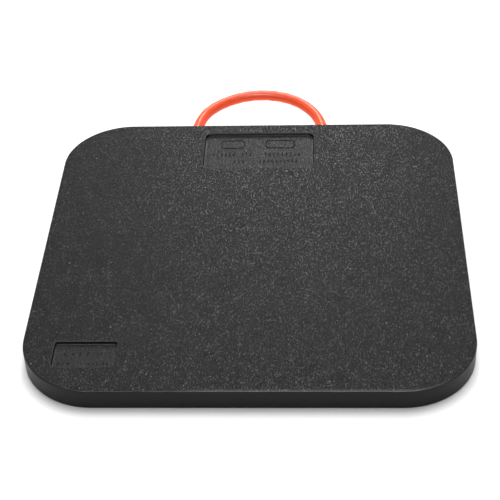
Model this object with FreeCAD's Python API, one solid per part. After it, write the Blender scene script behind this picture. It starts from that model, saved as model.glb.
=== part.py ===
"""Square ground pad with a jacketed cord handle. Millimetres.

Origin: centre of the plate's underside. +X right, +Y towards the handle, +Z up, out of the load face.
"""
import FreeCAD, Part
import math
import os

from FreeCAD import Vector

# Plate, moulded in solid polyethylene: 20 x 20 x 1 in
plate_side = 508.0
plate_thickness = 25.4
corner_radius = 85.0
rim_radius = 1.5

# Pockets in the load face: one for the maker's panel by the handle, one for the rating by a front corner
pocket_depth = 4.0
pocket_floor_radius = 1.2
pocket_lip_radius = 0.6
panel_size = (144.5, 79.0)
panel_centre = (0.8, 194.5)
panel_corner_radius = 9.0
rating_size = (70.5, 40.0)
rating_centre = (-181.7, -194.7)
rating_corner_radius = 4.0

# Handle: 9/16 in cord, a twisted core in a smooth jacket
cord_radius = 7.15
core_radius = 5.5
handle_half_span = 87.5
cord_insertion = 28.0

# Blind bores in the back edge, which the cord's ends are pushed into
bore_radius = 7.3
bore_depth = 30.0
bore_mouth_chamfer = 1.0

# Slotted spring pins, 1/8 x 3/4 in, driven from the load face through the cord's ends
pin_radius = 1.6
pin_inner_radius = 1.0
pin_length = 19.05
pin_slot = 0.5
pin_recess = 1.4
pin_setback = 16.5

# The cord bends where it leaves the plate: a hinge stands for that, one cord's diameter behind the edge
hinge_offset = 2 * cord_radius
hinge_clearance = 0.3

back_face = plate_side / 2
mid_height = plate_thickness / 2
hinge_y = back_face + hinge_offset
overshoot = 10.0

# The cord's route in plan: x, and distance behind the back face. It is a little fuller on its left.
handle_route = [
    (-handle_half_span, -cord_insertion),
    (-handle_half_span, 29.0),
    (-55.5, 76.0),
    (-4.0, 97.3),
    (51.0, 81.0),
    (handle_half_span, 25.0),
    (handle_half_span, -cord_insertion),
]
arc_share = 0.45


def rounded_block(size, centre, z_low, height, radius):
    """An upright block with rounded vertical edges, centred in plan."""
    width, length = size
    corner = Vector(centre[0] - width / 2, centre[1] - length / 2, z_low)
    block = Part.makeBox(width, length, height, corner)
    upright = [e for e in block.Edges if abs(e.tangentAt(e.FirstParameter).z) > 0.99]
    return block.makeFillet(radius, upright)


def edges_at(shape, z):
    """The edges that lie wholly at one height."""
    return [e for e in shape.Edges if abs(e.BoundBox.ZMin - z) < 1e-4 and abs(e.BoundBox.ZMax - z) < 1e-4]


def pocket_cutter(size, centre, radius):
    """A pocket with a radiused floor edge, taken past the load face."""
    floor = plate_thickness - pocket_depth
    cutter = rounded_block(size, centre, floor, pocket_depth + overshoot, radius)
    return cutter.makeFillet(pocket_floor_radius, edges_at(cutter, floor))


def make_plate():
    """The plate with its pockets, cord bores and pin holes."""
    plate = rounded_block((plate_side, plate_side), (0, 0), 0, plate_thickness, corner_radius)
    plate = plate.makeFillet(rim_radius, edges_at(plate, 0) + edges_at(plate, plate_thickness))
    outer_rim = {round(e.Length, 3) for e in edges_at(plate, plate_thickness)}
    for size, centre, radius in (
        (panel_size, panel_centre, panel_corner_radius),
        (rating_size, rating_centre, rating_corner_radius),
    ):
        plate = plate.cut(pocket_cutter(size, centre, radius))
    lips = [e for e in edges_at(plate, plate_thickness) if round(e.Length, 3) not in outer_rim]
    plate = plate.makeFillet(pocket_lip_radius, lips)
    for side in (-1, 1):
        x = side * handle_half_span
        mouth = Vector(x, back_face, mid_height)
        plate = plate.cut(Part.makeCylinder(bore_radius, bore_depth, mouth, Vector(0, -1, 0)))
        plate = plate.cut(
            Part.makeCone(
                bore_radius + bore_mouth_chamfer, bore_radius, bore_mouth_chamfer, mouth, Vector(0, -1, 0)
            )
        )
        plate = plate.cut(pin_hole(x))
    return plate


def pin_hole(x):
    """The hole for one spring pin, from the load face down to the pin's lower end."""
    depth = pin_recess + pin_length
    return Part.makeCylinder(pin_radius, depth, Vector(x, back_face - pin_setback, plate_thickness - depth))


def make_pin(x):
    """A slotted spring pin, its slot towards the back edge."""
    foot = Vector(x, back_face - pin_setback, plate_thickness - pin_recess - pin_length)
    pin = Part.makeCylinder(pin_radius, pin_length, foot)
    pin = pin.cut(Part.makeCylinder(pin_inner_radius, pin_length, foot))
    slot_corner = foot + Vector(-pin_slot / 2, 0, 0)
    return pin.cut(Part.makeBox(pin_slot, 2 * pin_radius, pin_length, slot_corner))


def cord_line():
    """The cord's centreline: straight runs joined by tangent arcs, as large as their runs allow."""
    points = [Vector(x, back_face + behind, mid_height) for x, behind in handle_route]
    edges = []
    start = points[0]
    for before, corner, after in zip(points, points[1:], points[2:]):
        incoming = (corner - before).normalize()
        outgoing = (after - corner).normalize()
        shorter = min((corner - before).Length, (after - corner).Length)
        turn = incoming.getAngle(outgoing)
        tangent = arc_share * shorter
        radius = tangent / math.tan(turn / 2)
        print(f"cord arc: radius {radius:.1f} mm, turn {math.degrees(turn):.1f} degrees")
        arc_start = corner - incoming * tangent
        arc_end = corner + outgoing * tangent
        to_middle = (outgoing - incoming).normalize()
        depth = radius / math.cos(turn / 2) - radius
        edges.append(Part.LineSegment(start, arc_start).toShape())
        edges.append(Part.Arc(arc_start, corner + to_middle * depth, arc_end).toShape())
        start = arc_end
    edges.append(Part.LineSegment(start, points[-1]).toShape())
    return Part.Wire(edges)


def direction_at_start(line):
    """The direction in which a wire leaves its first point."""
    first = line.OrderedEdges[0]
    start = line.OrderedVertexes[0].Point
    at_first = (first.valueAt(first.FirstParameter) - start).Length < 1e-6
    return first.tangentAt(first.FirstParameter) if at_first else -first.tangentAt(first.LastParameter)


def swept_rod(line, radius):
    """A solid round rod along a centreline."""
    section = Part.makeCircle(radius, line.OrderedVertexes[0].Point, direction_at_start(line))
    rod = line.makePipeShell([Part.Wire([section])], True, True)
    exact = math.pi * radius**2 * line.Length
    print(f"rod of radius {radius}: volume {rod.Volume / exact:.4f} of the exact one")
    return rod


def behind(y):
    """The space behind a plane across Y, wide enough to hold the whole handle."""
    return Part.makeBox(plate_side, plate_side, plate_side, Vector(-back_face, y, -back_face))


def knuckle(line):
    """The half ball that closes the jacket at a centreline's first point."""
    return Part.makeSphere(cord_radius, line.OrderedVertexes[0].Point, direction_at_start(line), -90, 0)


def by_side(shape):
    """A shape's solids by side of the pad."""
    left, right = sorted(shape.Solids, key=lambda solid: solid.CenterOfMass.x)
    return {"left": left, "right": right}


def make_handle():
    """The cord as two fixed ends in the plate and the loop between them, with a round knuckle at each end."""
    line = cord_line()
    print(f"cord: {line.Length:.1f} mm from end to end")
    forward = Part.Wire(line.common(behind(hinge_y)).Edges)
    backward = Part.Wire([e.reversed() for e in reversed(forward.OrderedEdges)])
    loop_core = swept_rod(forward, core_radius)
    sleeve = swept_rod(forward, cord_radius).cut(loop_core)
    parts = {
        "cord_jacket_loop": sleeve.multiFuse([knuckle(forward), knuckle(backward)]),
        "cord_core_loop": loop_core,
    }
    past_ends = behind(hinge_y - cord_radius - hinge_clearance)
    ends = by_side(swept_rod(line, cord_radius).cut(past_ends))
    core_ends = by_side(swept_rod(line, core_radius).cut(past_ends))
    for name, side in (("left", -1), ("right", 1)):
        hole = pin_hole(side * handle_half_span)
        parts[f"cord_jacket_end_{name}"] = ends[name].cut(core_ends[name]).cut(hole)
        parts[f"cord_core_end_{name}"] = core_ends[name].cut(hole)
    return parts


parts = {"plate": make_plate()}
parts.update(make_handle())
parts["retaining_pin_left"] = make_pin(-handle_half_span)
parts["retaining_pin_right"] = make_pin(handle_half_span)

os.makedirs("parts", exist_ok=True)
for node, shape in parts.items():
    if len(shape.Solids) != 1 or not shape.isValid():
        raise ValueError(f"{node} has {len(shape.Solids)} solids, valid: {shape.isValid()}")
    shape.exportStep(f"parts/{node}.step")
    box = shape.optimalBoundingBox()
    print(
        f"{node}: {shape.Volume / 1000:.2f} cm3, x {box.XMin:.1f} to {box.XMax:.1f}, "
        f"y {box.YMin:.1f} to {box.YMax:.1f}, z {box.ZMin:.1f} to {box.ZMax:.1f}"
    )
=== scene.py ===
"""A square ground pad with a cord handle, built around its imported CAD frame."""

import math

import bmesh
import bpy
import numpy as np
from mathutils import Matrix, Vector
from mathutils.geometry import delaunay_2d_cdt


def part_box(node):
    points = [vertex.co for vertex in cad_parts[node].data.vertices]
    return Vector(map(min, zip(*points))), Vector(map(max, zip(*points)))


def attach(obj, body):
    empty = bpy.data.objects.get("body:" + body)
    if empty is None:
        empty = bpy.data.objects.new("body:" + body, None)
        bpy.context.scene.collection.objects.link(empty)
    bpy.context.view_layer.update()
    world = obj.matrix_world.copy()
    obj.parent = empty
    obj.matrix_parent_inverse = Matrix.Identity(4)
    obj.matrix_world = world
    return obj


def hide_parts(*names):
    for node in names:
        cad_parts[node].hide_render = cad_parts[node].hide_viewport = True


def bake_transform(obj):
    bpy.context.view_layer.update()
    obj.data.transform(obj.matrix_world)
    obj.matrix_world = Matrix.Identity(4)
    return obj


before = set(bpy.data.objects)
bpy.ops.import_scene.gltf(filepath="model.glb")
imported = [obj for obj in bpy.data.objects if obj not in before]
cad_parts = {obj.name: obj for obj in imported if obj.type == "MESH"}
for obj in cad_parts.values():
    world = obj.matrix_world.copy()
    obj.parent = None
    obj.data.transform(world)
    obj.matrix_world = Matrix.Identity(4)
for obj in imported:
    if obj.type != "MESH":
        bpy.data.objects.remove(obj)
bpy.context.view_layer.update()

# ---------------------------------------------------------------------------------------------------------
# Camera
# A long lens on a tripod in front of the plain edge, looking down on the load face, held slightly off level.

plate_low, plate_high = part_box("plate")
plate_top = plate_high.z
mid_height = plate_top / 2

camera_aim = Vector((-0.0036, -0.0138, plate_top))
camera_distance = 1.6765
camera_azimuth = math.radians(-3.65)
camera_elevation = math.radians(39.17)
camera_roll = math.radians(-2.60)

camera_data = bpy.data.cameras.new("camera")
camera_data.sensor_width = 36
camera_data.lens = 100.16
camera = bpy.data.objects.new("camera", camera_data)
bpy.context.scene.collection.objects.link(camera)
bpy.context.scene.camera = camera

look = Vector(
    (
        math.sin(camera_azimuth) * math.cos(camera_elevation),
        math.cos(camera_azimuth) * math.cos(camera_elevation),
        -math.sin(camera_elevation),
    )
)
turn = look.to_track_quat("-Z", "Y").to_matrix().to_4x4() @ Matrix.Rotation(camera_roll, 4, "Z")
camera.matrix_world = Matrix.Translation(camera_aim - look * camera_distance) @ turn

# ---------------------------------------------------------------------------------------------------------
# Cord jacket
# A 9/16 inch cord in a smooth orange polyurethane jacket. Both its ends are pushed 28 mm into blind bores
# in the back edge, and the stretch between them stands out level as the handle, a little fuller on its left.

millimetre = 0.001
back_face = plate_high.y
handle_half_span = 87.5 * millimetre
cord_insertion = 28.0 * millimetre
cord_radius = 7.15 * millimetre
core_radius = 5.5 * millimetre
cord_route = [
    (-handle_half_span, -cord_insertion),
    (-handle_half_span, 0.029),
    (-0.0555, 0.076),
    (-0.004, 0.0973),
    (0.051, 0.081),
    (handle_half_span, 0.025),
    (handle_half_span, -cord_insertion),
]
route_steps = 40
jacket_sides = 40

route_curve = bpy.data.curves.new("cord_route", "CURVE")
route_curve.dimensions = "3D"
route_curve.resolution_u = route_steps
spline = route_curve.splines.new("NURBS")
spline.points.add(len(cord_route) - 1)
for point, (x, behind) in zip(spline.points, cord_route):
    point.co = (x, back_face + behind, mid_height, 1)
spline.order_u = 3
spline.use_endpoint_u = True
route_object = bpy.data.objects.new("cord_route", route_curve)
bpy.context.scene.collection.objects.link(route_object)


def as_mesh(source, name):
    """The evaluated shape of an object as a plain mesh."""
    bpy.context.view_layer.update()
    depsgraph = bpy.context.evaluated_depsgraph_get()
    mesh = bpy.data.meshes.new_from_object(source.evaluated_get(depsgraph), depsgraph=depsgraph)
    mesh.name = name
    return mesh


def add(tree, kind, inputs=None, **settings):
    """A new node with its settings made and its inputs, by name or number, filled or linked."""
    made = tree.nodes.new(kind)
    for name, value in settings.items():
        setattr(made, name, value)
    for key, value in (inputs or {}).items():
        if isinstance(value, bpy.types.NodeSocket):
            tree.links.new(value, made.inputs[key])
        else:
            made.inputs[key].default_value = value
    return made


def maths(tree, operation, *values):
    """The result of one Math node."""
    return add(tree, "ShaderNodeMath", dict(enumerate(values)), operation=operation).outputs[0]


def node_tree(name, kind, inputs, outputs):
    """An empty node tree with named sockets, and its inside ends of them."""
    tree = bpy.data.node_groups.new(name, kind)
    for in_out, sockets in (("INPUT", inputs), ("OUTPUT", outputs)):
        for socket_name, socket_type in sockets.items():
            tree.interface.new_socket(socket_name, in_out=in_out, socket_type="NodeSocket" + socket_type)
    return tree, tree.nodes.new("NodeGroupInput").outputs, tree.nodes.new("NodeGroupOutput").inputs


def geometry_tree(name, **sizes):
    """A Geometry Nodes tree from one geometry to another, with named sizes and a material."""
    inputs = {"Geometry": "Geometry", **sizes, "Material": "Material"}
    return node_tree(name, "GeometryNodeTree", inputs, {"Geometry": "Geometry"})


def end_tree(tree, geometry, given, result):
    """The end of each tree: its instances made real, smooth shading, and the material."""
    real = add(tree, "GeometryNodeRealizeInstances", {"Geometry": geometry})
    smooth = add(tree, "GeometryNodeSetShadeSmooth", {"Geometry": real.outputs[0]})
    finish = {"Geometry": smooth.outputs[0], "Material": given["Material"]}
    coated = add(tree, "GeometryNodeSetMaterial", finish)
    tree.links.new(coated.outputs[0], result["Geometry"])


def grow(mesh, tree, values, name, wall=0):
    """A new piece: the tree run on a mesh with these values, made a plain mesh, hollowed if it has a wall."""
    seed = bpy.data.objects.new(name + "_seed", mesh)
    bpy.context.scene.collection.objects.link(seed)
    modifier = seed.modifiers.new("grow", "NODES")
    modifier.node_group = tree
    for item in tree.interface.items_tree:
        if item.in_out == "INPUT" and item.name in values:
            modifier[item.identifier] = values[item.name]
    if wall:
        hollow = seed.modifiers.new("hollow", "SOLIDIFY")
        hollow.thickness = wall
    piece = bpy.data.objects.new(name, as_mesh(seed, name))
    bpy.data.objects.remove(seed)
    bpy.context.scene.collection.objects.link(piece)
    return piece


def captured(tree, geometry, **fields):
    """A geometry that carries the values that some fields have on it now, and those values."""
    store = add(tree, "GeometryNodeCaptureAttribute", {"Geometry": geometry})
    for name, field in fields.items():
        store.capture_items.new("FLOAT", name)
        tree.links.new(field, store.inputs[name])
    return store.outputs["Geometry"], *(store.outputs[name] for name in fields)


cord_line = as_mesh(route_object, "cord_line")
bpy.data.objects.remove(route_object)

# The core's strands press through the jacket as faint slanting lobes, except near the plate.
lobe_count = 2.0
lobe_height = 0.14 * millimetre
lobe_spacing = 18 * millimetre
lobe_fade = 1.5

tree, given, result = geometry_tree(
    "jacket_along_line",
    **{"Radius": "Float", "Around": "Int", "Lobes": "Float", "Lobe Height": "Float", "Lobe Spacing": "Float"},
)
spot = add(tree, "GeometryNodeSplineParameter").outputs
line = add(tree, "GeometryNodeMeshToCurve", {"Mesh": given["Geometry"]}).outputs[0]
line, length, share = captured(tree, line, Length=spot["Length"], Share=spot["Factor"])
round_section = {"Resolution": given["Around"], "Radius": given["Radius"]}
ring = add(tree, "GeometryNodeCurvePrimitiveCircle", round_section)
ring, turn = captured(tree, ring.outputs[0], Turn=spot["Factor"])
tube = add(tree, "GeometryNodeCurveToMesh", {"Curve": line, "Profile Curve": ring})
angle = maths(tree, "MULTIPLY", turn, math.tau)
wound = maths(tree, "MULTIPLY", maths(tree, "DIVIDE", length, given["Lobe Spacing"]), math.tau)
lobe = maths(tree, "COSINE", maths(tree, "SUBTRACT", maths(tree, "MULTIPLY", angle, given["Lobes"]), wound))
fade = maths(tree, "POWER", maths(tree, "SINE", maths(tree, "MULTIPLY", share, math.pi)), lobe_fade)
swell = maths(tree, "MULTIPLY", maths(tree, "MULTIPLY", lobe, fade), given["Lobe Height"])
outward = add(tree, "GeometryNodeInputNormal").outputs[0]
offset = add(tree, "ShaderNodeVectorMath", {0: outward, "Scale": swell}, operation="SCALE").outputs[0]
swollen = add(tree, "GeometryNodeSetPosition", {"Geometry": tube.outputs[0], "Offset": offset})
around = {0: maths(tree, "COSINE", angle), 1: maths(tree, "SINE", angle), 2: length}
marked = add(
    tree,
    "GeometryNodeStoreNamedAttribute",
    {
        "Geometry": swollen.outputs[0],
        "Name": "cord_place",
        "Value": add(tree, "ShaderNodeCombineXYZ", around).outputs[0],
    },
    data_type="FLOAT_VECTOR",
    domain="POINT",
)
end_tree(tree, marked.outputs[0], given, result)
jacket_tree = tree


def material(name):
    """A node material, its tree and its Principled BSDF."""
    made = bpy.data.materials.new(name)
    made.use_nodes = True
    return made, made.node_tree, made.node_tree.nodes["Principled BSDF"]


def mixed(tree, factor, first, second):
    """A blend of two colours or of two numbers."""
    if isinstance(first, float):
        return add(tree, "ShaderNodeMix", {0: factor, 2: first, 3: second}, data_type="FLOAT").outputs[0]
    return add(tree, "ShaderNodeMix", {0: factor, 6: first, 7: second}, data_type="RGBA").outputs[2]


def stretched(tree, place, scale):
    """A pattern's coordinates, drawn out or squeezed along each axis."""
    return add(tree, "ShaderNodeMapping", {"Vector": place, "Scale": scale}).outputs[0]


# Cloudy variation between two finishes, at any scale: grain, mottling, streaks and handling marks.
mottle, given, result = node_tree(
    "mottle",
    "ShaderNodeTree",
    {"Place": "Vector", "Scale": "Float", "Detail": "Float", "Low": "Float", "High": "Float"},
    {"Mask": "Float"},
)
noise = add(
    mottle,
    "ShaderNodeTexNoise",
    {"Vector": given["Place"], "Scale": given["Scale"], "Detail": given["Detail"], "Roughness": 0.6},
)
mask = add(
    mottle,
    "ShaderNodeMapRange",
    {"Value": noise.outputs["Fac"], "From Min": given["Low"], "From Max": given["High"]},
)
mottle.links.new(mask.outputs[0], result["Mask"])


def mottled(tree, place, scale, detail=2.0, low=0.3, high=0.7):
    """The mask of a mottle group placed in a material."""
    values = {"Place": place, "Scale": scale, "Detail": detail, "Low": low, "High": high}
    return add(tree, "ShaderNodeGroup", values, node_tree=mottle).outputs["Mask"]


def raised(tree, mask, base, rise):
    """A number at its base where a mask is empty, and higher by the rise where it is full."""
    return maths(tree, "MULTIPLY_ADD", mask, rise, base)


jacket_material, tree, shader = material("orange_polyurethane")
place = add(tree, "ShaderNodeAttribute", attribute_name="cord_place").outputs["Vector"]
clouds = mottled(tree, stretched(tree, place, (0.3, 0.3, 45)), scale=1.0)
rubs = mottled(tree, stretched(tree, place, (2, 2, 260)), scale=1.0, detail=4.0, low=0.55, high=0.75)
bright_orange = (0.90, 0.090, 0.020, 1)
deep_orange = (0.86, 0.074, 0.015, 1)
rubbed_orange = (0.87, 0.095, 0.030, 1)
colour = mixed(tree, clouds, bright_orange, deep_orange)
tree.links.new(mixed(tree, rubs, colour, rubbed_orange), shader.inputs["Base Color"])
tree.links.new(raised(tree, rubs, base=0.44, rise=0.12), shader.inputs["Roughness"])
ripple = mottled(tree, stretched(tree, place, (1.2, 1.2, 120)), scale=1.0)
bump = add(tree, "ShaderNodeBump", {"Height": ripple, "Distance": 0.12 * millimetre, "Strength": 1.0})
tree.links.new(bump.outputs[0], shader.inputs["Normal"])
shader.inputs["Specular IOR Level"].default_value = 0.15
shader.inputs["Coat Weight"].default_value = 0.25
shader.inputs["Coat Roughness"].default_value = 0.07

jacket = grow(
    cord_line,
    jacket_tree,
    {
        "Radius": cord_radius,
        "Around": jacket_sides,
        "Lobes": lobe_count,
        "Lobe Height": lobe_height,
        "Lobe Spacing": lobe_spacing,
        "Material": jacket_material,
    },
    "cord_jacket",
    wall=cord_radius - core_radius,
)


def bend_with_handle(piece):
    """The cord piece with its placing baked into its mesh. Its smooth turn from the plate to the handle just
    behind the back edge comes from its route.
    """
    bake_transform(piece)


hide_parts("cord_jacket_loop", "cord_jacket_end_left", "cord_jacket_end_right")
bend_with_handle(jacket)

# ---------------------------------------------------------------------------------------------------------
# Cord core
# Three laid strands of polyester fill the jacket from end to end,
# and carry the load when the plate is lifted.

strand_share = 1 / (1 + 2 / math.sqrt(3))
strand_fit = 0.97
lay_length = 34 * millimetre
strand_sides = 14

tree, given, result = geometry_tree(
    "strands_along_line",
    **{"Radius": "Float", "Around": "Int", "Offset": "Vector", "Lay": "Float"},
)
spot = add(tree, "GeometryNodeSplineParameter").outputs
line = add(tree, "GeometryNodeMeshToCurve", {"Mesh": given["Geometry"]}).outputs[0]
line, length = captured(tree, line, Length=spot["Length"])
wound = maths(tree, "MULTIPLY", maths(tree, "DIVIDE", length, given["Lay"]), math.tau)
line = add(tree, "GeometryNodeSetCurveTilt", {"Curve": line, "Tilt": wound}).outputs[0]
round_section = {"Resolution": given["Around"], "Radius": given["Radius"]}
ring = add(tree, "GeometryNodeCurvePrimitiveCircle", round_section)
ring, turn = captured(tree, ring.outputs[0], Turn=spot["Factor"])
ring = add(tree, "GeometryNodeTransform", {"Geometry": ring, "Translation": given["Offset"]}).outputs[0]
profile = add(tree, "GeometryNodeJoinGeometry")
for third in range(3):
    turned = add(tree, "GeometryNodeTransform", {"Geometry": ring, "Rotation": (0, 0, math.tau * third / 3)})
    tree.links.new(turned.outputs[0], profile.inputs[0])
strands = add(
    tree,
    "GeometryNodeCurveToMesh",
    {"Curve": line, "Profile Curve": profile.outputs[0], "Fill Caps": True},
)
around = {0: turn, 2: length}
marked = add(
    tree,
    "GeometryNodeStoreNamedAttribute",
    {
        "Geometry": strands.outputs[0],
        "Name": "cord_place",
        "Value": add(tree, "ShaderNodeCombineXYZ", around).outputs[0],
    },
    data_type="FLOAT_VECTOR",
    domain="POINT",
)
end_tree(tree, marked.outputs[0], given, result)

yarn_material, yarn_tree, shader = material("white_polyester_yarn")
place = add(yarn_tree, "ShaderNodeAttribute", attribute_name="cord_place").outputs["Vector"]
yarns = add(
    yarn_tree,
    "ShaderNodeTexWave",
    {"Vector": stretched(yarn_tree, place, (9, 9, 900)), "Scale": 1.0, "Distortion": 0.6},
    bands_direction="DIAGONAL",
)
fuzz = mottled(yarn_tree, stretched(yarn_tree, place, (6, 6, 500)), scale=1.0)
# The yarns' grooves are painted darker as shade and their crowns lighter as painted light, along the same
# bands as their bump
painted_groove_shade = (0.52, 0.49, 0.43, 1)
painted_crown_light = (0.80, 0.78, 0.72, 1)
yarn_fuzz = (0.70, 0.67, 0.60, 1)
colour = mixed(yarn_tree, yarns.outputs["Fac"], painted_groove_shade, painted_crown_light)
yarn_tree.links.new(mixed(yarn_tree, fuzz, colour, yarn_fuzz), shader.inputs["Base Color"])
yarn_tree.links.new(raised(yarn_tree, fuzz, base=0.72, rise=0.15), shader.inputs["Roughness"])
bump = add(yarn_tree, "ShaderNodeBump", {"Height": yarns.outputs["Fac"], "Distance": 0.3 * millimetre})
yarn_tree.links.new(bump.outputs[0], shader.inputs["Normal"])
shader.inputs["Sheen Weight"].default_value = 0.3

strand_radius = strand_fit * core_radius * strand_share
core = grow(
    cord_line,
    tree,
    {
        "Radius": strand_radius,
        "Around": strand_sides,
        "Offset": (strand_fit * core_radius - strand_radius, 0, 0),
        "Lay": lay_length,
        "Material": yarn_material,
    },
    "cord_core",
)
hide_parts("cord_core_loop", "cord_core_end_left", "cord_core_end_right")
bend_with_handle(core)

# ---------------------------------------------------------------------------------------------------------
# Plate
# One solid plate of black polyethylene, pressed with a fine streaked grain and two shallow pockets in its
# load face. Its edges are machined smooth, the back one bored for the cord, and the face drilled for the two
# pins. A pale painted highlight lies along the front rim, mostly right of its middle, and a pale painted
# reflection lies along the large pocket's back wall. The light specks in the grain are painted glints.

plate_side = plate_high.x - plate_low.x
corner_radius = 85 * millimetre
rim_radius = 1.5 * millimetre
pocket_depth = 4 * millimetre
lip_radius = 0.6 * millimetre
floor_radius = 1.2 * millimetre
# Each pocket's last value is how much pale painted reflection its back wall takes
pockets = {
    "panel": {"size": (0.1445, 0.079), "centre": (0.0008, 0.1945), "radius": 9 * millimetre, "painted_highlight": 0.8},
    "rating": {"size": (0.0705, 0.040), "centre": (-0.1817, -0.1947), "radius": 4 * millimetre, "painted_highlight": 0.0},
}
bore_radius = 7.3 * millimetre
bore_depth = 30 * millimetre
bore_chamfer = 1 * millimetre
bore_patch = 11 * millimetre
pin_radius = 1.6 * millimetre
pin_setback = 16.5 * millimetre
pin_hole_depth = 20.45 * millimetre
pin_hole_break = 0.15 * millimetre
support = 0.4 * millimetre
# The pale painted highlight on the front rim: its centre, its reach and where it is full; and how near the
# back a pocket wall's painted reflection lies
painted_highlight_centre = Vector((0.07, plate_low.y, plate_top))
painted_highlight_reach = 160 * millimetre
painted_highlight_full = 110 * millimetre
wall_highlight_reach = 1 * millimetre
face_pitch = 2.3 * millimetre
pocket_pitch = 1.5 * millimetre
bore_pitch = 3 * millimetre
back_pitch = 9 * millimetre
rim_steps = 5
lip_steps = 4
cove_steps = 5
bore_steps = 48
pin_hole_steps = 24
sharp_edge = math.radians(35)
floor_grain = 0.4
hair = 1e-6


def rounded_outline(size, centre, radius, pitch):
    """Points round a rounded rectangle, anticlockwise, each as a core point and the direction out from it."""
    half_x, half_y = size[0] / 2 - radius, size[1] / 2 - radius
    quadrants = ((1, 1), (-1, 1), (-1, -1), (1, -1))
    cores = [Vector((centre[0] + x * half_x, centre[1] + y * half_y)) for x, y in quadrants]
    arc_steps = max(6, round(radius * math.pi / 2 / pitch))
    points = []
    for corner, core_point in enumerate(cores):
        for step in range(arc_steps + 1):
            a = math.pi / 2 * (corner + step / arc_steps)
            points.append((core_point, Vector((math.cos(a), math.sin(a)))))
        following = cores[(corner + 1) % 4]
        straight_steps = max(1, round((following - core_point).length / pitch))
        for step in range(1, straight_steps):
            points.append((core_point.lerp(following, step / straight_steps), points[-1][1]))
    return points


def circle_outline(centre, steps):
    """Points round a circle, anticlockwise, in the same form."""
    turns = [math.tau * step / steps for step in range(steps)]
    return [(Vector(centre), Vector((math.cos(a), math.sin(a)))) for a in turns]


def quarter(radius, reach, height, start, end, steps):
    """A quarter round of a wall's profile, about the point (reach, height), from one angle to another."""
    angles = [math.radians(start + (end - start) * step / steps) for step in range(steps + 1)]
    return [(reach + radius * math.cos(a), height + radius * math.sin(a)) for a in angles]


def wall(bm, outline, profile, upright=True):
    """The rings of a wall round an outline, one for each (reach from the cores, height) of its profile."""
    rings = []
    for reach, height in profile:
        flat = [core_point + out * reach for core_point, out in outline]
        rings.append([bm.verts.new((x, y, height) if upright else (x, height, y)) for x, y in flat])
    for upper, lower in zip(rings, rings[1:]):
        for i, vertex in enumerate(upper):
            j = (i + 1) % len(upper)
            bm.faces.new((vertex, lower[i], lower[j], upper[j]))
    return rings


def inside(points, ring):
    """Which of some flat points lie inside a convex ring of them."""
    following = np.roll(ring, -1, axis=0)
    side = following - ring
    across = side[:, 0] * (points[:, None, 1] - ring[:, 1]) - side[:, 1] * (points[:, None, 0] - ring[:, 0])
    return (across > 0).all(1) | (across < 0).all(1)


def fill(bm, boundary, holes, pitch, axes=(0, 1)):
    """Even triangles over a flat region with a boundary and convex holes. Returns the new vertices."""
    rims = [boundary, *holes]
    known = [vertex for ring in rims for vertex in ring]
    flat_rings = [np.array([[vertex.co[axis] for axis in axes] for vertex in ring]) for ring in rims]
    corners = np.concatenate(flat_rings)
    edges, owner = [], []
    for number, ring in enumerate(rims):
        first = len(owner)
        edges += [(first + i, first + (i + 1) % len(ring)) for i in range(len(ring))]
        owner += [number] * len(ring)
    low, high = corners.min(0), corners.max(0)
    rows = np.arange(low[1] + pitch / 2, high[1], pitch * math.sqrt(3) / 2)
    across = np.arange(low[0], high[0], pitch)
    grid = np.array([(x + pitch / 2 * (row % 2), y) for row, y in enumerate(rows) for x in across])
    grid = grid[inside(grid, flat_rings[0])]
    for ring in flat_rings[1:]:
        grid = grid[~inside(grid, ring)]
    spare = 0.6 * pitch
    grid = np.array([point for point in grid if ((corners - point) ** 2).sum(1).min() > spare**2])
    points = [Vector(point) for point in [*corners.tolist(), *grid.tolist()]]
    triangles_inside, weld = 1, 1e-7
    triangles = delaunay_2d_cdt(points, edges, [], triangles_inside, weld)[2]
    new = []
    for point in points[len(known):]:
        spot = known[0].co.copy()
        spot[axes[0]], spot[axes[1]] = point
        new.append(bm.verts.new(spot))
    vertices = known + new
    # A triangle whose three corners are all on one hole's rim lies in that hole, and is left out
    for triangle in triangles:
        owners = {owner[index] if index < len(known) else -1 for index in triangle}
        if len(owners) > 1 or owners & {-1, 0}:
            bm.faces.new([vertices[index] for index in triangle])
    return new


# Each vertex says how much of the pressed grain it carries, and how much pale painted highlight it takes
plate_bm = bmesh.new()
skin = plate_bm.verts.layers.float.new("skin")
painted_highlight = plate_bm.verts.layers.float.new("painted_highlight")

rim = quarter(rim_radius, corner_radius - rim_radius, plate_top - rim_radius, 90, 0, rim_steps)
side = [(corner_radius, plate_top - rim_radius - support), (corner_radius, rim_radius + support)]
heel = [(reach, plate_top - height) for reach, height in reversed(rim)]
outline = rounded_outline((plate_side, plate_side), (0, 0), corner_radius, face_pitch)
edge_rings = wall(plate_bm, outline, rim + side + heel)

# Each bore's mouth takes the place of a patch of the back edge
upper, lower = edge_rings[len(rim)], edge_rings[len(rim) + 1]
bore_profile = [
    (bore_radius + bore_chamfer, back_face),
    (bore_radius, back_face - bore_chamfer),
    (bore_radius, back_face - bore_depth),
]
for handle_side in (-1, 1):
    bore_x = handle_side * handle_half_span
    in_back_edge = [i for i, vertex in enumerate(upper) if vertex.co.y > back_face - hair]
    patch = [i for i in in_back_edge if abs(upper[i].co.x - bore_x) < bore_patch]
    for i in patch[:-1]:
        feet = {lower[i], lower[i + 1]}
        old = next(face for face in upper[i].link_faces if feet <= set(face.verts))
        bmesh.ops.delete(plate_bm, geom=[old], context="FACES")
    bore = wall(plate_bm, circle_outline((bore_x, mid_height), bore_steps), bore_profile, upright=False)
    patch_edge = [upper[i] for i in patch] + [lower[i] for i in reversed(patch)]
    fill(plate_bm, patch_edge, [bore[0]], bore_pitch, (0, 2))
    plate_bm.faces.new(bore[-1])

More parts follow.
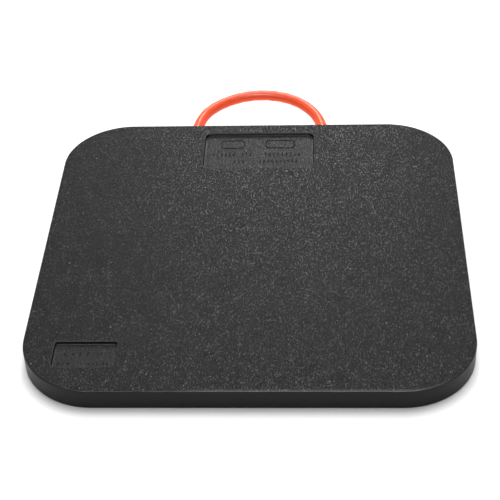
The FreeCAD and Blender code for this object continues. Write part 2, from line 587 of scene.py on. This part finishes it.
# The load face, open at its pockets and pin holes
openings = []
for pocket in pockets.values():
    edge = pocket["radius"]
    cove_height = plate_top - pocket_depth + floor_radius
    lip = quarter(lip_radius, edge + lip_radius, plate_top - lip_radius, 90, 180, lip_steps)
    cove = quarter(floor_radius, edge - floor_radius, cove_height, 0, -90, cove_steps)
    pocket_outline = rounded_outline(pocket["size"], pocket["centre"], edge, pocket_pitch)
    pocket_rings = wall(plate_bm, pocket_outline, lip + cove)
    openings.append(pocket_rings[0])
    # The back wall of each pocket takes its share of pale painted reflection
    for vertex in [*pocket_rings[len(lip) - 1], *pocket_rings[len(lip)]]:
        if vertex.co.y > pocket["centre"][1] + pocket["size"][1] / 2 - wall_highlight_reach:
            vertex[painted_highlight] = pocket["painted_highlight"]
    for vertex in fill(plate_bm, pocket_rings[-1], [], face_pitch):
        vertex[skin] = floor_grain
for handle_side in (-1, 1):
    spot = (handle_side * handle_half_span, back_face - pin_setback)
    drilled = [
        (pin_radius + pin_hole_break, plate_top),
        (pin_radius, plate_top - pin_hole_break),
        (pin_radius, plate_top - pin_hole_depth),
    ]
    hole = wall(plate_bm, circle_outline(spot, pin_hole_steps), drilled)
    openings.append(hole[0])
    plate_bm.faces.new(hole[-1])
face_vertices = fill(plate_bm, edge_rings[0], openings, face_pitch)
back_vertices = fill(plate_bm, edge_rings[-1], [], back_pitch)
for vertex in [*face_vertices, *edge_rings[0], *back_vertices, *edge_rings[-1]]:
    vertex[skin] = 1
# The front rim takes a pale painted highlight, full near its centre and fading out by its reach
for vertex in [*edge_rings[0], *edge_rings[1], *edge_rings[2]]:
    beyond = (painted_highlight_reach - (vertex.co - painted_highlight_centre).length) / (painted_highlight_reach - painted_highlight_full)
    vertex[painted_highlight] = min(1, max(0, beyond))
bmesh.ops.recalc_face_normals(plate_bm, faces=plate_bm.faces)
for face in plate_bm.faces:
    face.smooth = True
for seam in plate_bm.edges:
    seam.smooth = seam.calc_face_angle(math.pi) < sharp_edge
plate_mesh = bpy.data.meshes.new("plate_blank")
plate_bm.to_mesh(plate_mesh)
plate_bm.free()

# Pressing leaves the load face and the pocket floors very slightly uneven, never above the flat. The tree
# leaves the smooth and sharp edges as they are.
noise_top = 0.75
tree, given, result = geometry_tree("pressed_skin", **{"Wave": "Float", "Depth": "Float"})
spot = add(tree, "GeometryNodeInputPosition").outputs[0]
noise = add(tree, "ShaderNodeTexNoise", {"Vector": spot, "Scale": given["Wave"], "Detail": 1.5})
uneven = maths(tree, "MULTIPLY", maths(tree, "SUBTRACT", noise.outputs["Fac"], noise_top), given["Depth"])
pressed = add(tree, "GeometryNodeInputNamedAttribute", {"Name": "skin"}, data_type="FLOAT").outputs[0]
lift = maths(tree, "MULTIPLY", uneven, pressed)
upward = add(tree, "ShaderNodeCombineXYZ", {2: lift}).outputs[0]
height = add(tree, "ShaderNodeSeparateXYZ", {0: spot}).outputs[2]
is_load_face = maths(tree, "GREATER_THAN", height, mid_height)
relief = add(
    tree,
    "GeometryNodeSetPosition",
    {"Geometry": given["Geometry"], "Selection": is_load_face, "Offset": upward},
)
real = add(tree, "GeometryNodeRealizeInstances", {"Geometry": relief.outputs[0]})
coated = add(tree, "GeometryNodeSetMaterial", {"Geometry": real.outputs[0], "Material": given["Material"]})
tree.links.new(coated.outputs[0], result["Geometry"])
skin_tree = tree

black = (0.0, 0.0, 0.0, 1)
coarse_grain_tone = (0.038, 0.038, 0.038, 1)
fine_grain_tone = (0.016, 0.016, 0.016, 1)
streak_tone = (0.006, 0.006, 0.0055, 1)
cloud_tone = (0.006, 0.006, 0.005, 1)
# A bright tone for painted glints
painted_glint_tone = (0.16, 0.16, 0.16, 1)
sawn_dark = (0.009, 0.009, 0.009, 1)
sawn_pale = (0.013, 0.013, 0.013, 1)
# A pale tone for the painted highlight and painted reflection
painted_highlight_tone = (0.085, 0.085, 0.083, 1)
faint = 0.15

plate_material, tree, shader = material("black_polyethylene")
place = add(tree, "ShaderNodeTexCoord").outputs["Object"]
pressed = add(tree, "ShaderNodeAttribute", attribute_name="skin").outputs["Fac"]
painted_highlight_mask = add(tree, "ShaderNodeAttribute", attribute_name="painted_highlight").outputs["Fac"]
grained_place = stretched(tree, place, (1, 0.42, 1))
flecked_place = stretched(tree, place, (1, 0.6, 1))
grain = mottled(tree, grained_place, scale=640.0, detail=1.0, low=0.46, high=0.60)
patches = mottled(tree, flecked_place, scale=95.0, low=0.35, high=0.62)
# Sparse specks, raised in the bump and painted bright as glints
specks_and_glints = mottled(tree, flecked_place, scale=480.0, detail=1.0, low=0.66, high=0.74)
streaks = mottled(tree, stretched(tree, place, (1, 0.05, 1)), scale=420.0)
clouds = mottled(tree, place, scale=16.0, detail=3.0)
saw_lines = mottled(tree, stretched(tree, place, (0.04, 0.04, 1)), scale=900.0)
coarse = mixed(tree, grain, black, coarse_grain_tone)
fine = mixed(tree, grain, black, fine_grain_tone)
colour = mixed(tree, patches, coarse, fine)
colour = mixed(tree, maths(tree, "MULTIPLY", streaks, faint), colour, streak_tone)
colour = mixed(tree, maths(tree, "MULTIPLY", clouds, faint), colour, cloud_tone)
# Bright specks painted in as glints
colour = mixed(tree, specks_and_glints, colour, painted_glint_tone)
sawn = mixed(tree, saw_lines, sawn_dark, sawn_pale)
colour = mixed(tree, pressed, sawn, colour)
# Pale painted highlight and painted reflection, broken up by the grain
broken_painted_highlight = maths(tree, "MULTIPLY", painted_highlight_mask, raised(tree, grain, base=0.5, rise=0.5))
colour = mixed(tree, broken_painted_highlight, colour, painted_highlight_tone)
tree.links.new(colour, shader.inputs["Base Color"])
rough_face = raised(tree, grain, base=0.56, rise=-0.24)
rough_edge = raised(tree, saw_lines, base=0.36, rise=0.12)
roughness = add(tree, "ShaderNodeMix", {0: pressed, 2: rough_edge, 3: rough_face}).outputs[0]
tree.links.new(roughness, shader.inputs["Roughness"])
pebbles = maths(tree, "MULTIPLY", maths(tree, "ADD", grain, specks_and_glints), pressed)
unpressed = maths(tree, "SUBTRACT", 1.0, pressed)
lines = maths(tree, "MULTIPLY", maths(tree, "MULTIPLY", saw_lines, faint), unpressed)
relief_height = maths(tree, "ADD", pebbles, lines)
bump = add(tree, "ShaderNodeBump", {"Height": relief_height, "Distance": millimetre, "Strength": 1.0})
tree.links.new(bump.outputs[0], shader.inputs["Normal"])
shader.inputs["Specular IOR Level"].default_value = 0.13

plate = grow(
    plate_mesh,
    skin_tree,
    {"Wave": 60.0, "Depth": 0.12 * millimetre, "Material": plate_material},
    "plate_moulding",
)
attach(plate, "pad")
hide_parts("plate")

# ---------------------------------------------------------------------------------------------------------
# Marks
# Rows of plain raised ticks and two raised frames stand on the pocket floors, moulded in one with the plate,
# where such a plate carries its maker's panel and its rating.

mark_height = 0.6 * millimetre
mark_root = 0.3 * millimetre
frame_line = 1.3 * millimetre
frame_round = 5 * millimetre
frame_corner_steps = 6
# Each frame: its centre from the panel pocket's, and its width and height, in mm
mark_frames = {(-35, 19.5): (30, 17), (28, 19.5): (38, 17)}
# Each row of ticks: first x and y from the pocket's centre, how many, their pitch, and one tick's size, in mm
mark_rows = {
    "panel": [
        (-60, -3.5, 6, 5.4, 2.2, 9.5),
        (-22, -3.5, 3, 5.2, 1.6, 9.5),
        (9, -3.5, 9, 5.5, 2.4, 9.5),
        (-31, -19.5, 3, 5.3, 2.6, 6.5),
        (2, -19.5, 10, 5.3, 2.6, 6.5),
    ],
    "rating": [
        (-22, 4, 4, 8.4, 2.4, 5.5),
        (14, 4, 3, 4.4, 1.8, 5.5),
        (-28, -11, 3, 5.4, 2.4, 5.5),
        (6, -11, 3, 4.6, 2.0, 5.5),
        (22, -11, 2, 4.2, 2.0, 5.5),
    ],
}

mark_bm = bmesh.new()
tick_size = mark_bm.verts.layers.float_vector.new("tick_size")
for pocket_name, rows in mark_rows.items():
    pocket_x, pocket_y = pockets[pocket_name]["centre"]
    for first_x, y, count, pitch, tick_x, tick_y in rows:
        for number in range(count):
            x = pocket_x + (first_x + number * pitch) * millimetre
            tick = mark_bm.verts.new((x, pocket_y + y * millimetre, plate_top - pocket_depth - mark_root))
            tick[tick_size] = (tick_x * millimetre, tick_y * millimetre, mark_height + mark_root)
tick_places = bpy.data.meshes.new("tick_places")
mark_bm.to_mesh(tick_places)
mark_bm.free()

tree, given, result = geometry_tree(
    "ticks_and_frames",
    **{"Line": "Float", "Round": "Float", "Height": "Float"},
)
# One tick of unit size: eight-sided, tapered, and turned so that its flats face along the axes
tick_sides = 8
block = add(
    tree,
    "GeometryNodeMeshCone",
    {"Vertices": tick_sides, "Radius Top": 0.40, "Radius Bottom": 0.54, "Depth": 1.0},
)
block = add(
    tree,
    "GeometryNodeTransform",
    {"Geometry": block.outputs["Mesh"], "Rotation": (0, 0, math.pi / tick_sides)},
)
size = add(
    tree,
    "GeometryNodeInputNamedAttribute",
    {"Name": "tick_size"},
    data_type="FLOAT_VECTOR",
).outputs[0]
ticks = add(
    tree,
    "GeometryNodeInstanceOnPoints",
    {"Points": given["Geometry"], "Instance": block.outputs[0], "Scale": size},
)
marks_joined = add(tree, "GeometryNodeJoinGeometry", {0: ticks.outputs[0]})
section = add(
    tree,
    "GeometryNodeCurvePrimitiveQuadrilateral",
    {"Width": given["Line"], "Height": given["Height"]},
).outputs[0]
panel_x, panel_y = pockets["panel"]["centre"]
for (x, y), (width, height) in mark_frames.items():
    sizes = {"Width": width * millimetre, "Height": height * millimetre}
    frame_outline = add(tree, "GeometryNodeCurvePrimitiveQuadrilateral", sizes)
    rounded = add(
        tree,
        "GeometryNodeFilletCurve",
        {"Curve": frame_outline.outputs[0], "Radius": given["Round"], "Count": frame_corner_steps},
        mode="POLY",
    )
    spot = (panel_x + x * millimetre, panel_y + y * millimetre, plate_top - pocket_depth)
    moved = add(tree, "GeometryNodeTransform", {"Geometry": rounded.outputs[0], "Translation": spot})
    swept = add(tree, "GeometryNodeCurveToMesh", {"Curve": moved.outputs[0], "Profile Curve": section})
    tree.links.new(swept.outputs[0], marks_joined.inputs[0])
end_tree(tree, marks_joined.outputs[0], given, result)

marks = grow(
    tick_places,
    tree,
    {"Line": frame_line, "Round": frame_round, "Height": 2 * mark_height, "Material": plate_material},
    "pocket_marks",
)
# The marks carry the grain in full, its painted glints included
mark_skin = marks.data.attributes.new("skin", "FLOAT", "POINT")
mark_skin.data.foreach_set("value", [1.0] * len(marks.data.vertices))
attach(marks, "pad")

# ---------------------------------------------------------------------------------------------------------
# Retaining pins
# Two slotted spring pins of hardened steel, driven down through the plate and the cord to hold its ends.

blued_dark = (0.20, 0.19, 0.18, 1)
blued_pale = (0.36, 0.35, 0.34, 1)
pin_material, tree, shader = material("blued_spring_steel")
place = add(tree, "ShaderNodeTexCoord").outputs["Object"]
drawn = mottled(tree, stretched(tree, place, (1, 1, 0.04)), scale=4000.0)
stained = mottled(tree, place, scale=700.0, detail=3.0)
colour = mixed(tree, stained, blued_dark, blued_pale)
tree.links.new(colour, shader.inputs["Base Color"])
tree.links.new(raised(tree, stained, base=0.3, rise=0.2), shader.inputs["Roughness"])
bump = add(tree, "ShaderNodeBump", {"Height": drawn, "Distance": 0.03 * millimetre})
tree.links.new(bump.outputs[0], shader.inputs["Normal"])
shader.inputs["Metallic"].default_value = 1.0
for pin in ("retaining_pin_left", "retaining_pin_right"):
    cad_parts[pin].data.materials[0] = pin_material

# ---------------------------------------------------------------------------------------------------------
# Floor and light
# A plain white floor under an even white sky, a broad panel and a softbox above and behind the object, and
# a long narrow strip in front that adds gloss only. The cord's two pieces are set to cast no shadow.

floor_half = 6
floor_mesh = bpy.data.meshes.new("floor")
floor_corners = [(x * floor_half, y * floor_half, 0) for x, y in ((-1, -1), (1, -1), (1, 1), (-1, 1))]
floor_mesh.from_pydata(floor_corners, [], [(0, 1, 2, 3)])
floor = bpy.data.objects.new("floor", floor_mesh)
bpy.context.scene.collection.objects.link(floor)
floor_material, tree, shader = material("pale_floor")
shader.inputs["Base Color"].default_value = (0.9, 0.9, 0.9, 1)
shader.inputs["Roughness"].default_value = 0.9
floor_mesh.materials.append(floor_material)

world = bpy.data.worlds.new("studio")
world.use_nodes = True
sky = world.node_tree.nodes["Background"]
sky.inputs["Color"].default_value = (1, 1, 1, 1)
sky.inputs["Strength"].default_value = 0.50
bpy.context.scene.world = world
bpy.context.scene.view_settings.view_transform = "Standard"


def light(kind, name, where, energy, **settings):
    """A lamp that shines from a place towards the origin."""
    data = bpy.data.lights.new(name, kind)
    data.energy = energy
    for setting, value in settings.items():
        setattr(data, setting, value)
    lamp = bpy.data.objects.new(name, data)
    bpy.context.scene.collection.objects.link(lamp)
    place = Vector(where)
    lamp.matrix_world = Matrix.Translation(place) @ (-place).to_track_quat("-Z", "Y").to_matrix().to_4x4()
    return lamp


light("SUN", "overhead_panel", where=(0.05, 1.0, 2.4), energy=2.75, angle=math.radians(40))
light("AREA", "back_softbox", where=(-0.01, 2.1, 1.25), energy=22, size=0.8)
strip = light(
    "AREA",
    "front_strip",
    where=(0.0, -0.95, 1.9),
    energy=120,
    shape="RECTANGLE",
    size=2.2,
    size_y=0.12,
)
strip.visible_diffuse = False
for cord_piece in (jacket, core):
    cord_piece.visible_shadow = False
